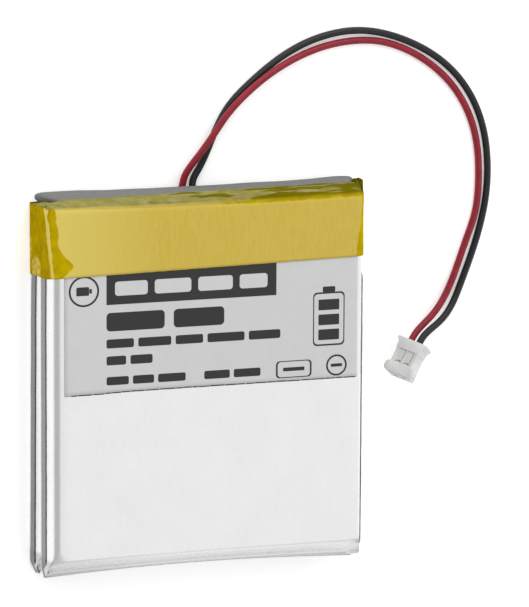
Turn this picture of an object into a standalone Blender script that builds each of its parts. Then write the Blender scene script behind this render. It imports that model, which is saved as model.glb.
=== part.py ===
"""Flat two-cell lithium-polymer battery pack with a pair of leads and a two-way crimp connector.

The pack lies on its back with the label face up. +X runs across the pack, +Y towards the lead end
and +Z out of the label face. The origin is on the surface that the pack rests on, under its middle.
Two pouch cells lie one on the other. Each is a drawn foil cup on a foil back sheet whose side
seals are folded up, round an electrode stack with two tabs. The tabs, the protection board and the
ends of the leads sit on the terraces at the lead end, behind a foam strip and a band of tape.
"""

import math

import bmesh
import bpy
import numpy as np
from mathutils import Matrix, Vector

MM = 0.001

# Driving dimensions
CELL_WIDTH = 52.4 * MM
CELL_LENGTH = 59.3 * MM
CELL_THICKNESS = 5.7 * MM
PACK_LENGTH = 62.6 * MM
FOIL = 0.15 * MM
SEAL = 0.2 * MM
TAPE = 0.1 * MM
GAP = 0.05 * MM
LEAD_DIAMETER = 1.15 * MM
CONTACT_PITCH = 1.5 * MM

# Cell
CUP_HALF_WIDTH = CELL_WIDTH / 2 - 0.6 * MM
CUP_LENGTH = 56.1 * MM
CUP_FOOT_SET_BACK = 0.5 * MM
CUP_BOTTOM_SLOPE = 3.4 * MM
SHOULDER = 1.3 * MM
CORNER = 1.0 * MM
SEAL_HEIGHT = 4.4 * MM
SEAL_BEND = 0.7 * MM
SEAL_END_CUT = 3.0 * MM
FLANGE_RISE = 0.4 * MM
TERRACE_RISE = 0.81 * MM
FRONT_CELL_SHIFT = 0.5 * MM
STACK_CLEARANCE = 0.5 * MM

# Tabs, which are welded together outside the cells
TAB_OFFSET = 15.0 * MM
TAB_WIDTH = 4.0 * MM
TAB_THICKNESS = 0.1 * MM
TAB_RISE = 0.43 * MM
TAB_FOLD_Y = 28.85 * MM
SLEEVE_LENGTH = 2.6 * MM
SLEEVE_WALL = 0.08 * MM

# Protection board
BOARD_SIZE = Vector((42.0, 3.2, 0.8)) * MM
BOARD_CENTRE = Vector((0.0, 26.8, 2.85)) * MM
CHIP_LIFT = 0.05 * MM

# Tape, foam and label
BOND_SIZE = Vector((40.0, 44.0, 0.1)) * MM
BAND_LOW_Y = 19.4 * MM
BAND_TOP_Y = 30.05 * MM
BAND_REAR_BEND = 0.95 * MM
BAND_FRONT_BEND = 1.55 * MM
FOAM_HALF_WIDTH = 25.2 * MM
FOAM_INNER_Y = 29.5 * MM
FLAP_END_Z = 6.6 * MM
LABEL_LOW = Vector((-23.7, 0.4)) * MM
LABEL_SIZE = Vector((48.3, 22.0, 0.06)) * MM

# Leads: each runs from its solder joint, out under the foam, and over the surface to the connector
WIRE_CORE = 0.4 * MM
LEAD_STEP = 2.5 * LEAD_DIAMETER
RED_ROUTE = [
    (-7.3, 28.0, 1.75), (-5.6, 28.0, 1.72), (-4.0, 28.05, 1.64), (-2.8, 28.5, 1.45), (-1.8, 29.4, 1.22),
    (-1.15, 30.8, 1.0), (-0.8, 32.4, 1.12), (0.0, 34.0, 1.42), (1.0, 35.4, 1.68), (2.4, 37.2, 1.8),
    (4.0, 39.4, 1.82), (6.1, 42.3, 1.82), (8.9, 45.2, 1.8), (13.2, 48.5, 1.6), (17.6, 50.8, 1.1),
    (22.2, 52.4, 0.7), (27.0, 53.2, 0.6), (32.0, 53.0, 0.6), (36.4, 51.6, 0.6), (40.5, 49.2, 0.6),
    (44.0, 46.1, 0.6), (46.6, 42.5, 0.6), (48.3, 38.7, 0.6), (49.2, 34.8, 0.6), (49.5, 30.7, 0.6),
    (49.4, 27.0, 0.6), (48.9, 23.7, 0.6), (47.55, 19.7, 0.62), (45.7, 14.6, 0.75), (43.5, 10.05, 1.15),
    (41.1, 7.15, 1.65), (38.12, 4.37, 2.23), (37.06, 2.6, 2.63),
]
BLACK_ROUTE = [
    (7.2, 28.0, 1.75), (5.4, 28.0, 1.7), (3.7, 28.05, 1.58), (2.1, 28.5, 1.36), (1.1, 29.4, 1.1),
    (0.65, 30.8, 0.86), (0.85, 32.0, 0.7), (1.7, 33.5, 0.61), (2.7, 35.4, 0.6), (4.3, 39.1, 0.6),
    (6.5, 43.2, 0.6), (10.6, 47.4, 0.6), (15.2, 50.9, 0.6), (19.8, 53.3, 0.6), (24.4, 54.6, 0.6),
    (28.8, 54.9, 0.6), (33.1, 54.2, 0.6), (37.7, 52.5, 0.6), (42.0, 50.0, 0.6), (45.8, 46.5, 0.6),
    (48.7, 42.0, 0.6), (50.3, 37.4, 0.6), (51.0, 32.0, 0.6), (50.9, 27.6, 0.6), (50.1, 22.8, 0.6),
    (48.5, 17.3, 0.6), (46.5, 12.0, 0.7), (44.85, 8.75, 1.2), (42.5, 6.35, 2.1), (39.14, 3.98, 3.25),
    (38.08, 2.22, 3.65),
]

# Connector, in its own frame: +Y towards the leads and +Z out of the face with the windows
CONNECTOR_CENTRE = Vector((36.51, 0.64, 3.55)) * MM
CONNECTOR_HEADING = math.radians(-31.0)
CONNECTOR_PITCH = math.radians(-11.0)
CONNECTOR_ROLL = math.radians(-44.0)
HOUSING_LENGTH = 6.1 * MM
HOUSING_HALF_WIDTH = 2.5 * MM
HOUSING_HALF_THICKNESS = 1.75 * MM
WAIST_HALF_WIDTH = 2.1 * MM
WAIST_HALF_THICKNESS = 1.6 * MM
FLANGE_LENGTH = 1.1 * MM
NOSE_LENGTH = 1.7 * MM
CAVITY_WIDTH = 1.3 * MM
CAVITY_HEIGHT = 1.5 * MM
WINDOW_SIZE = Vector((1.1, 2.2, 0.55)) * MM

# Levels of the stack, from the surface up
REAR_CELL_Z = TAPE + GAP
BOND_Z = REAR_CELL_Z + CELL_THICKNESS + GAP
FRONT_CELL_Z = BOND_Z + BOND_SIZE.z + GAP
FRONT_FACE_Z = FRONT_CELL_Z + CELL_THICKNESS
LABEL_Z = FRONT_FACE_Z + GAP
BAND_TOP_Z = LABEL_Z + LABEL_SIZE.z + GAP + TAPE
CELL_LOW_Y = -PACK_LENGTH / 2

FOIL_SILVER = ("pouch_foil", (0.80, 0.80, 0.81), 0.35, 1.0)
COPPER_GREY = ("electrode_stack", (0.16, 0.16, 0.17), 0.6, 0.0)
ALUMINIUM = ("aluminium_tab", (0.75, 0.76, 0.78), 0.35, 1.0)
NICKEL = ("nickel_tab", (0.62, 0.60, 0.56), 0.35, 1.0)
SEAL_FILM = ("tab_seal_film", (0.85, 0.82, 0.72), 0.5, 0.0)
BOND_FILM = ("bond_tape", (0.88, 0.88, 0.85), 0.5, 0.0)
FOAM_GREY = ("foam", (0.25, 0.25, 0.25), 0.95, 0.0)
FILLER_WHITE = ("filler_foam", (0.75, 0.75, 0.73), 0.95, 0.0)
PAPER = ("insulation_paper", (0.62, 0.66, 0.58), 0.8, 0.0)
BOARD_GREEN = ("board", (0.03, 0.17, 0.08), 0.45, 0.0)
CHIP_BLACK = ("chip", (0.02, 0.02, 0.02), 0.5, 0.0)
CAPACITOR_TAN = ("capacitor", (0.45, 0.33, 0.22), 0.5, 0.0)
SOLDER = ("solder", (0.66, 0.67, 0.68), 0.25, 1.0)
TAPE_YELLOW = ("yellow_tape", (0.65, 0.48, 0.08), 0.45, 0.0)
LABEL_GREY = ("label", (0.60, 0.60, 0.60), 0.5, 0.0)
LEAD_RED = ("lead_red", (0.32, 0.02, 0.03), 0.45, 0.0)
LEAD_BLACK = ("lead_black", (0.02, 0.02, 0.02), 0.45, 0.0)
NYLON = ("connector_nylon", (0.72, 0.72, 0.70), 0.5, 0.0)
TIN = ("tinned_bronze", (0.68, 0.67, 0.64), 0.3, 1.0)


def clear_scene():
    for obj in list(bpy.data.objects):
        bpy.data.objects.remove(obj)


def make_collection(name):
    collection = bpy.data.collections.new(name)
    bpy.context.scene.collection.children.link(collection)
    return collection


def make_material(spec):
    name, colour, roughness, metallic = spec
    material = bpy.data.materials.get(name)
    if material is None:
        material = bpy.data.materials.new(name)
        material.use_nodes = True
        shader = material.node_tree.nodes["Principled BSDF"]
        shader.inputs["Base Color"].default_value = (*colour, 1.0)
        shader.inputs["Roughness"].default_value = roughness
        shader.inputs["Metallic"].default_value = metallic
    return material


def add_piece(name, data, spec, parent=None, location=(0, 0, 0)):
    obj = bpy.data.objects.new(name, data)
    data.materials.append(make_material(spec))
    obj.location = location
    obj.parent = parent or PACK
    PIECES.objects.link(obj)
    return obj


def add_cutter(name, data, parent):
    obj = bpy.data.objects.new(name, data)
    obj.parent = parent
    obj.hide_render = True
    obj.display_type = "WIRE"
    CUTTERS.objects.link(obj)
    return obj


def mesh_from(bm, name):
    mesh = bpy.data.meshes.new(name)
    bm.normal_update()
    bm.to_mesh(mesh)
    bm.free()
    return mesh


def box_mesh(name, size, centre=(0, 0, 0)):
    bm = bmesh.new()
    bmesh.ops.create_cube(bm, size=1.0)
    bmesh.ops.scale(bm, vec=size, verts=bm.verts)
    bmesh.ops.translate(bm, vec=centre, verts=bm.verts)
    return mesh_from(bm, name)


def add_box(name, size, centre, spec, bevel=0.0, parent=None):
    obj = add_piece(name, box_mesh(name, size), spec, parent, centre)
    if bevel:
        rounding = obj.modifiers.new("rounded_edges", "BEVEL")
        rounding.width = bevel
        rounding.segments = 2
    return obj


def thicken(obj, thickness, offset=0.0):
    """Gives an open surface its thickness: offset -1 is inwards from it, 0 is half to each side."""
    shell = obj.modifiers.new("thickness", "SOLIDIFY")
    shell.thickness = thickness
    shell.offset = offset
    shell.use_even_offset = True


def boolean(obj, other, operation):
    modifier = obj.modifiers.new(other.name, "BOOLEAN")
    modifier.object = other
    modifier.operation = operation
    modifier.solver = "EXACT"


def swept_strip(path, width):
    """An open sheet: the path of (y, z) points, swept across by width along X."""
    bm = bmesh.new()
    chain = [bm.verts.new((-width / 2, y, z)) for y, z in path]
    edges = [bm.edges.new(pair) for pair in zip(chain, chain[1:])]
    swept = bmesh.ops.extrude_edge_only(bm, edges=edges)["geom"]
    moved = [item for item in swept if isinstance(item, bmesh.types.BMVert)]
    bmesh.ops.translate(bm, vec=(width, 0, 0), verts=moved)
    return bm


def arc(centre, radius, start, end, steps):
    """Points on a circular arc between two angles in degrees."""
    angles = np.radians(np.linspace(start, end, steps + 1))
    return [(centre[0] + radius * math.cos(a), centre[1] + radius * math.sin(a)) for a in angles]


def rounded_outline(half_width, low, high, low_radius, high_radius, steps=4):
    """A rounded rectangle, anticlockwise from its lower right corner, as pairs."""
    return (
        arc((half_width - low_radius, low + low_radius), low_radius, -90, 0, steps)
        + arc((half_width - high_radius, high - high_radius), high_radius, 0, 90, steps)
        + arc((high_radius - half_width, high - high_radius), high_radius, 90, 180, steps)
        + arc((low_radius - half_width, low + low_radius), low_radius, 180, 270, steps)
    )


def cup_rings():
    """The outlines of the drawn cup, from the edge of its flange up to its flat front face."""
    top = CUP_LENGTH
    slope_start = CUP_FOOT_SET_BACK
    flat_start = CUP_BOTTOM_SLOPE + CUP_FOOT_SET_BACK

    def level(outline, rise):
        """Sets an outline at its height. At the lead end the flange lies over the tabs."""
        ring = []
        for x, y in outline:
            over_tabs = rise <= FLANGE_RISE and y > top - 2 * CORNER
            ring.append((x, y, TERRACE_RISE if over_tabs else rise))
        return ring

    flange = rounded_outline(CUP_HALF_WIDTH + 0.1 * MM, 0.0, CELL_LENGTH, CORNER, CORNER)
    foot = rounded_outline(CUP_HALF_WIDTH, slope_start, top, CORNER, CORNER)
    rings = [level(flange, FLANGE_RISE), level(foot, FLANGE_RISE)]
    shoulder_low = CELL_THICKNESS - SHOULDER
    low_at_shoulder = slope_start + CUP_BOTTOM_SLOPE * 0.62
    for angle in np.radians([0, 30, 60, 90]):
        inset = SHOULDER * (1 - math.cos(angle))
        rise = shoulder_low + SHOULDER * math.sin(angle)
        part = math.sin(angle / 2) ** 2 * 2
        low = low_at_shoulder + (flat_start - low_at_shoulder) * part
        outline = rounded_outline(CUP_HALF_WIDTH - inset, low, top - inset, CORNER, CORNER)
        rings.append(level(outline, rise))
    return rings


def loft(rings):
    """Joins rings of equal counts with side faces and closes the last one."""
    bm = bmesh.new()
    rows = [[bm.verts.new(point) for point in ring] for ring in rings]
    count = len(rows[0])
    for lower, upper in zip(rows, rows[1:]):
        for i in range(count):
            j = (i + 1) % count
            bm.faces.new((lower[i], lower[j], upper[j], upper[i]))
    bm.faces.new(rows[-1])
    return bm


def make_cup(side, base):
    cup = add_piece(side + "_pouch_cup", mesh_from(loft(cup_rings()), "cup"), FOIL_SILVER, None, base)
    thicken(cup, FOIL, -1.0)


def make_back_sheet(side, base):
    """The flat back foil with the side seals folded up along the cup and cut oblique at the bottom."""
    half = CELL_WIDTH / 2 - SEAL / 2
    low = SEAL / 2
    bend = SEAL_BEND
    profile = [(-half, SEAL_HEIGHT)]
    profile += arc((bend - half, low + bend), bend, 180, 270, 4)
    profile += arc((half - bend, low + bend), bend, 270, 360, 4)
    profile += [(half, SEAL_HEIGHT)]
    bm = swept_strip(profile, CELL_LENGTH)
    turn = Matrix.Rotation(math.radians(-90), 4, "Z")
    bmesh.ops.transform(bm, matrix=turn, verts=bm.verts)
    bmesh.ops.translate(bm, vec=(0, CELL_LENGTH / 2, 0), verts=bm.verts)
    for vert in bm.verts:
        if vert.co.z > SEAL_HEIGHT - GAP and vert.co.y < CELL_LENGTH / 2:
            vert.co.y += SEAL_END_CUT
    sheet = add_piece(side + "_pouch_back", mesh_from(bm, "back"), FOIL_SILVER, None, base)
    thicken(sheet, SEAL)


def make_stack(side, base):
    """The folded electrode stack inside the cup."""
    low_y = CUP_FOOT_SET_BACK + CUP_BOTTOM_SLOPE + STACK_CLEARANCE
    high_y = CUP_LENGTH - SHOULDER - STACK_CLEARANCE
    low_z = SEAL + STACK_CLEARANCE
    high_z = CELL_THICKNESS - FOIL - STACK_CLEARANCE
    width = 2 * (CUP_HALF_WIDTH - FOIL - STACK_CLEARANCE) - SHOULDER
    size = Vector((width, high_y - low_y, high_z - low_z))
    centre = base + Vector((0, (low_y + high_y) / 2, (low_z + high_z) / 2))
    add_box(side + "_electrode_stack", size, centre, COPPER_GREY, 0.8 * MM)


def make_tab(name, spec, x, base, path):
    bm = swept_strip(path, TAB_WIDTH)
    tab = add_piece(name, mesh_from(bm, name), spec, None, (x, 0, 0))
    thicken(tab, TAB_THICKNESS)
    sleeve_size = Vector((TAB_WIDTH + 0.3 * MM, SLEEVE_LENGTH, TAB_THICKNESS + 2 * GAP))
    centre = (x, base.y + CUP_LENGTH + 0.3 * MM, base.z + TAB_RISE)
    make_sleeve(name + "_seal", sleeve_size, centre)


def make_sleeve(name, size, centre):
    """The polymer film round a tab, where it passes through the pouch's seal."""
    bm = bmesh.new()
    bmesh.ops.create_cube(bm, size=1.0)
    bmesh.ops.scale(bm, vec=size, verts=bm.verts)
    bm.faces.ensure_lookup_table()
    bm.normal_update()
    ends = [face for face in bm.faces if abs(face.normal.y) > 0.5]
    bmesh.ops.delete(bm, geom=ends, context="FACES")
    sleeve = add_piece(name, mesh_from(bm, name), SEAL_FILM, None, centre)
    thicken(sleeve, SLEEVE_WALL, 1.0)


def make_cells():
    rear = Vector((0, CELL_LOW_Y, REAR_CELL_Z))
    front = Vector((0, CELL_LOW_Y + FRONT_CELL_SHIFT, FRONT_CELL_Z))
    start = 0.8 * MM
    rear_z = REAR_CELL_Z + TAB_RISE
    front_z = FRONT_CELL_Z + TAB_RISE
    rear_path = [
        (rear.y + CUP_LENGTH - start, rear_z),
        (TAB_FOLD_Y, rear_z),
        (TAB_FOLD_Y, FRONT_CELL_Z - 0.5 * MM),
    ]
    front_path = [
        (front.y + CUP_LENGTH - start, front_z),
        (TAB_FOLD_Y + 2 * TAB_THICKNESS, front_z),
        (TAB_FOLD_Y + 2 * TAB_THICKNESS, FRONT_CELL_Z - 2.0 * MM),
    ]
    for side, base, path in (("rear", rear, rear_path), ("front", front, front_path)):
        make_cup(side, base)
        make_back_sheet(side, base)
        make_stack(side, base)
        make_tab(side + "_positive_tab", ALUMINIUM, -TAB_OFFSET, base, path)
        make_tab(side + "_negative_tab", NICKEL, TAB_OFFSET, base, path)
    bond_centre = (0, -2.0 * MM, BOND_Z + BOND_SIZE.z / 2)
    add_box("cell_bond_tape", BOND_SIZE, bond_centre, BOND_FILM)


def make_board():
    """The protection board on the rear terrace, with its chips, straps and insulating paper."""
    add_box("protection_board", BOARD_SIZE, BOARD_CENTRE, BOARD_GREEN)
    top = BOARD_CENTRE.z + BOARD_SIZE.z / 2 + CHIP_LIFT
    chips = [
        ("dual_mosfet", -5.2, (4.4, 3.0, 1.0), CHIP_BLACK),
        ("protection_ic", 1.0, (2.9, 1.6, 1.1), CHIP_BLACK),
        ("sense_resistor", 4.6, (1.6, 0.8, 0.45), CHIP_BLACK),
        ("filter_capacitor", 7.4, (1.0, 0.5, 0.5), CAPACITOR_TAN),
    ]
    for name, x, size, spec in chips:
        size = Vector(size) * MM
        centre = (x * MM, BOARD_CENTRE.y, top + size.z / 2)
        add_box(name, size, centre, spec, 0.08 * MM)
    strap_z = top + TAB_THICKNESS / 2
    strap_y = TAB_FOLD_Y - 2 * TAB_THICKNESS
    path = [
        (BOARD_CENTRE.y - 0.8 * MM, strap_z),
        (strap_y, strap_z),
        (strap_y, strap_z + 2.0 * MM),
    ]
    for name, x in (("positive_strap", -TAB_OFFSET), ("negative_strap", TAB_OFFSET)):
        bm = swept_strip(path, TAB_WIDTH - 0.6 * MM)
        strap = add_piece(name, mesh_from(bm, name), NICKEL, None, (x, 0, 0))
        thicken(strap, TAB_THICKNESS)
    terrace_top = REAR_CELL_Z + TERRACE_RISE
    between_tabs = 2 * (TAB_OFFSET - TAB_WIDTH / 2) - 0.6 * MM
    paper_size = Vector((between_tabs, 2.4 * MM, 0.08 * MM))
    centre = (0, BOARD_CENTRE.y, terrace_top + GAP + paper_size.z / 2)
    add_box("board_paper", paper_size, centre, PAPER)


def make_foam():
    """The grey strip on the lead end: its outer face slopes down to the front, under the tape."""
    low_z = 1.95 * MM
    high_z = 11.6 * MM
    outer_y = 31.15 * MM
    outline = [
        (FOAM_INNER_Y, low_z),
        (outer_y, low_z),
        (outer_y, FLAP_END_Z),
        (BAND_TOP_Y, high_z),
        (FOAM_INNER_Y, high_z),
    ]
    bm = bmesh.new()
    face = bm.faces.new([bm.verts.new((-FOAM_HALF_WIDTH, y, z)) for y, z in outline])
    swept = bmesh.ops.extrude_face_region(bm, geom=[face])["geom"]
    moved = [item for item in swept if isinstance(item, bmesh.types.BMVert)]
    bmesh.ops.translate(bm, vec=(2 * FOAM_HALF_WIDTH, 0, 0), verts=moved)
    bmesh.ops.recalc_face_normals(bm, faces=bm.faces)
    add_piece("foam_strip", mesh_from(bm, "foam_strip"), FOAM_GREY)
    low = FRONT_CELL_Z + TERRACE_RISE + 2 * GAP
    high = FRONT_FACE_Z - GAP
    start_y = CELL_LOW_Y + FRONT_CELL_SHIFT + CUP_LENGTH + 0.2 * MM
    end_y = TAB_FOLD_Y - 0.3 * MM
    size = Vector((2 * FOAM_HALF_WIDTH, end_y - start_y, high - low))
    centre = (0, (start_y + end_y) / 2, (low + high) / 2)
    add_box("terrace_filler", size, centre, FILLER_WHITE)


def make_tape_band():
    """The band round both cells, with the flap that folds over the front half of the foam."""
    half = CELL_WIDTH / 2 + 2 * GAP + TAPE / 2
    low_z = TAPE / 2
    high_z = BAND_TOP_Z - TAPE / 2
    outline = rounded_outline(half, low_z, high_z, BAND_REAR_BEND, BAND_FRONT_BEND)
    bm = bmesh.new()
    lower = [bm.verts.new((x, BAND_LOW_Y, z)) for x, z in outline]
    upper = [bm.verts.new((x, BAND_TOP_Y, z)) for x, z in outline]
    count = len(outline)
    for i in range(count):
        j = (i + 1) % count
        bm.faces.new((lower[i], lower[j], upper[j], upper[i]))
    front = [vert for vert in upper if vert.co.z > high_z - 0.001 * MM]
    edges = [edge for edge in bm.edges if edge.verts[0] in front and edge.verts[1] in front]
    for move in (Vector((0, 0.1, -0.2)) * MM, Vector((0, 1.1, FLAP_END_Z / MM - 11.75)) * MM):
        swept = bmesh.ops.extrude_edge_only(bm, edges=edges)["geom"]
        moved = [item for item in swept if isinstance(item, bmesh.types.BMVert)]
        bmesh.ops.translate(bm, vec=move, verts=moved)
        edges = [
            item
            for item in swept
            if isinstance(item, bmesh.types.BMEdge) and all(vert in moved for vert in item.verts)
        ]
    bmesh.ops.recalc_face_normals(bm, faces=bm.faces)
    band = add_piece("tape_band", mesh_from(bm, "tape_band"), TAPE_YELLOW)
    thicken(band, TAPE)


def make_label():
    centre = (
        LABEL_LOW.x + LABEL_SIZE.x / 2,
        LABEL_LOW.y + LABEL_SIZE.y / 2,
        LABEL_Z + LABEL_SIZE.z / 2,
    )
    add_box("front_label", LABEL_SIZE, centre, LABEL_GREY)


def smooth_line(route, spacing):
    """Evenly spaced points on the natural cubic spline through a route's own points."""
    points = np.array(route) * MM
    steps = np.linalg.norm(np.diff(points, axis=0), axis=1)
    along = np.concatenate([[0.0], np.cumsum(steps)])
    count = len(points)
    system = np.eye(count)
    right = np.zeros((count, 3))
    for i in range(1, count - 1):
        before, after = steps[i - 1], steps[i]
        system[i, i - 1 : i + 2] = before, 2 * (before + after), after
        right[i] = 6 * ((points[i + 1] - points[i]) / after - (points[i] - points[i - 1]) / before)
    bend = np.linalg.solve(system, right)
    line = []
    for distance in np.linspace(0, along[-1], math.ceil(along[-1] / spacing) + 1):
        i = min(int(np.searchsorted(along, distance, side="right")) - 1, count - 2)
        left, passed, step = along[i + 1] - distance, distance - along[i], steps[i]
        curved = (bend[i] * left**3 + bend[i + 1] * passed**3) / (6 * step)
        line_start = (points[i] / step - bend[i] * step / 6) * left
        line_end = (points[i + 1] / step - bend[i + 1] * step / 6) * passed
        line.append(curved + line_start + line_end)
    return line


def add_tube(name, points, diameter, spec):
    curve = bpy.data.curves.new(name, "CURVE")
    curve.dimensions = "3D"
    curve.bevel_depth = diameter / 2
    curve.bevel_resolution = 2
    curve.use_fill_caps = True
    spline = curve.splines.new("POLY")
    spline.points.add(len(points) - 1)
    for knot, point in zip(spline.points, points):
        knot.co = (*point, 1.0)
    spline.use_smooth = True
    return add_piece(name, curve, spec)


def make_leads():
    board_low = BOARD_CENTRE.z - BOARD_SIZE.z / 2
    joint_size = Vector((1.9, 1.3, 0.9)) * MM
    for name, route, spec in (("red", RED_ROUTE, LEAD_RED), ("black", BLACK_ROUTE, LEAD_BLACK)):
        add_tube("lead_" + name, smooth_line(route, LEAD_STEP), LEAD_DIAMETER, spec)
        start = Vector(route[0]) * MM
        outwards = Vector((math.copysign(1, start.x), 0, 0))
        core = [start + outwards * 0.1 * MM, start + outwards * 1.3 * MM]
        add_tube("lead_%s_core" % name, core, WIRE_CORE, SOLDER)
        centre = start + outwards * (1.4 * MM + joint_size.x / 2)
        centre.z = board_low - GAP - joint_size.z / 2
        add_box("solder_joint_" + name, joint_size, centre, SOLDER, 0.35 * MM)


def housing_block(name, half_width, half_thickness, low_y, high_y):
    size = Vector((2 * half_width, high_y - low_y, 2 * half_thickness))
    return box_mesh(name, size, (0, (low_y + high_y) / 2, 0))


def make_connector():
    """The crimp housing and its two contacts, lying on one edge with the mating end raised."""
    frame = bpy.data.objects.new("connector_frame", None)
    frame.location = CONNECTOR_CENTRE
    heading = Matrix.Rotation(CONNECTOR_HEADING, 3, "Z")
    pitch = Matrix.Rotation(CONNECTOR_PITCH, 3, "X")
    roll = Matrix.Rotation(CONNECTOR_ROLL, 3, "Y")
    frame.rotation_euler = (heading @ pitch @ roll).to_euler()
    PIECES.objects.link(frame)
    half = HOUSING_LENGTH / 2
    waist = housing_block("waist", WAIST_HALF_WIDTH, WAIST_HALF_THICKNESS, -half + MM, half - 0.5 * MM)
    housing = add_piece("connector_housing", waist, NYLON, frame)
    wide, thick = HOUSING_HALF_WIDTH, HOUSING_HALF_THICKNESS
    flange = housing_block("flange", wide, thick, half - FLANGE_LENGTH, half)
    nose = housing_block("nose", wide, thick, -half, NOSE_LENGTH - half)
    for block in (flange, nose):
        boolean(housing, add_cutter(block.name, block, frame), "UNION")
    for side in (-1, 1):
        x = side * CONTACT_PITCH / 2
        cavity_size = Vector((CAVITY_WIDTH, HOUSING_LENGTH, CAVITY_HEIGHT))
        entry_size = Vector((0.8 * MM, HOUSING_LENGTH, 0.8 * MM))
        slit_size = Vector((WINDOW_SIZE.x, 0.2 * MM, HOUSING_HALF_THICKNESS))
        window_y = half - 1.7 * MM - WINDOW_SIZE.y / 2
        slit_y = window_y - WINDOW_SIZE.y / 2 + 0.1 * MM
        cuts = [
            ("cavity", cavity_size, (x, 0.9 * MM, 0)),
            ("pin_entry", entry_size, (x, -0.5 * MM, 0)),
            ("window", WINDOW_SIZE, (x, window_y, thick)),
            ("lance_slit", slit_size, (x, slit_y, thick / 2 + 0.3 * MM)),
        ]
        for name, size, centre in cuts:
            boolean(housing, add_cutter(name, box_mesh(name, size, centre), frame), "DIFFERENCE")
    for name, side in (("red", -1), ("black", 1)):
        size = Vector((0.95, 3.4, 1.1)) * MM
        centre = (side * CONTACT_PITCH / 2, 0.15 * MM, 0)
        add_box("crimp_contact_" + name, size, centre, TIN, 0.12 * MM, frame)


clear_scene()
PIECES = make_collection("battery_pack")
CUTTERS = make_collection("cutters")
PACK = bpy.data.objects.new("pack_origin", None)
PIECES.objects.link(PACK)
make_cells()
make_board()
make_foam()
make_tape_band()
make_label()
make_leads()
make_connector()
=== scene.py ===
"""Looks of the flat two-cell lithium-polymer pack with its pair of leads and two-way connector.

The pack lies on its back: +X runs across it, +Y towards the lead end and +Z out of the label face.
Lengths in this script are in millimetres unless a name says otherwise. Meshes are made in metres.
"""

import math

import bmesh
import bpy
import numpy as np
from mathutils import Matrix, Vector, noise


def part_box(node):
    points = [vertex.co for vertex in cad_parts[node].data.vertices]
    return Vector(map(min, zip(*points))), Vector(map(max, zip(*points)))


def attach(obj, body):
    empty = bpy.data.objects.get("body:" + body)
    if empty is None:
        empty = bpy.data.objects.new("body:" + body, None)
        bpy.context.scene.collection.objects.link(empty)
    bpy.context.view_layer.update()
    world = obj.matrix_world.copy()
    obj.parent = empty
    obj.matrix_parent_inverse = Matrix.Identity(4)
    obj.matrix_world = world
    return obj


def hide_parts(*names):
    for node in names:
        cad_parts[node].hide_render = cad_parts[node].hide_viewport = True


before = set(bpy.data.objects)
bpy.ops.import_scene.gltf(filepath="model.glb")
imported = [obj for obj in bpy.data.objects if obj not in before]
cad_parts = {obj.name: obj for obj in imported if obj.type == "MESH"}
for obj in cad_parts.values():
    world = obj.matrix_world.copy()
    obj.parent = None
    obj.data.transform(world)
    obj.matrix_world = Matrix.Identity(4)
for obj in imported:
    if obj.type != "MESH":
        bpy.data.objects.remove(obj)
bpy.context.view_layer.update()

MM = 0.001

# Camera
CAMERA_TARGET = Vector((9.438, 13.312, 11.8))
CAMERA_DISTANCE = 850.0
CAMERA_AZIMUTH = 17.5
CAMERA_ELEVATION = 12.0
CAMERA_ROLL = 0.29
CAMERA_LENS = 315.5

# Leads: each point list is the route that the CAD lead follows
LEAD_DIAMETER = 1.15
LEAD_SPACING = 0.4
RED_ROUTE = [
    (-7.3, 28.0, 1.75), (-5.6, 28.0, 1.72), (-4.0, 28.05, 1.64), (-2.8, 28.5, 1.45), (-1.8, 29.4, 1.22),
    (-1.15, 30.8, 1.0), (-0.8, 32.4, 1.12), (0.0, 34.0, 1.42), (1.0, 35.4, 1.68), (2.4, 37.2, 1.8),
    (4.0, 39.4, 1.82), (6.1, 42.3, 1.82), (8.9, 45.2, 1.8), (13.2, 48.5, 1.6), (17.6, 50.8, 1.1),
    (22.2, 52.4, 0.7), (27.0, 53.2, 0.6), (32.0, 53.0, 0.6), (36.4, 51.6, 0.6), (40.5, 49.2, 0.6),
    (44.0, 46.1, 0.6), (46.6, 42.5, 0.6), (48.3, 38.7, 0.6), (49.2, 34.8, 0.6), (49.5, 30.7, 0.6),
    (49.4, 27.0, 0.6), (48.9, 23.7, 0.6), (47.55, 19.7, 0.62), (45.7, 14.6, 0.75), (43.5, 10.05, 1.15),
    (41.1, 7.15, 1.65), (38.12, 4.37, 2.23), (37.06, 2.6, 2.63),
]
BLACK_ROUTE = [
    (7.2, 28.0, 1.75), (5.4, 28.0, 1.7), (3.7, 28.05, 1.58), (2.1, 28.5, 1.36), (1.1, 29.4, 1.1),
    (0.65, 30.8, 0.86), (0.85, 32.0, 0.7), (1.7, 33.5, 0.61), (2.7, 35.4, 0.6), (4.3, 39.1, 0.6),
    (6.5, 43.2, 0.6), (10.6, 47.4, 0.6), (15.2, 50.9, 0.6), (19.8, 53.3, 0.6), (24.4, 54.6, 0.6),
    (28.8, 54.9, 0.6), (33.1, 54.2, 0.6), (37.7, 52.5, 0.6), (42.0, 50.0, 0.6), (45.8, 46.5, 0.6),
    (48.7, 42.0, 0.6), (50.3, 37.4, 0.6), (51.0, 32.0, 0.6), (50.9, 27.6, 0.6), (50.1, 22.8, 0.6),
    (48.5, 17.3, 0.6), (46.5, 12.0, 0.7), (44.85, 8.75, 1.2), (42.5, 6.35, 2.1), (39.14, 3.98, 3.25),
    (38.08, 2.22, 3.65),
]

# Connector, as its CAD solid lies
CONNECTOR_CENTRE = Vector((36.51, 0.64, 3.55))
CONNECTOR_HEADING = math.radians(-31.0)
CONNECTOR_PITCH = math.radians(-11.0)
CONNECTOR_ROLL = math.radians(-44.0)

# Cells and tape, as their CAD solids are
CELL_THICKNESS = 5.7
CUP_LENGTH = 56.1
FOIL = 0.15
SEAL = 0.1
SEAL_HEIGHT = 3.35
TAPE = 0.1

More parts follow.
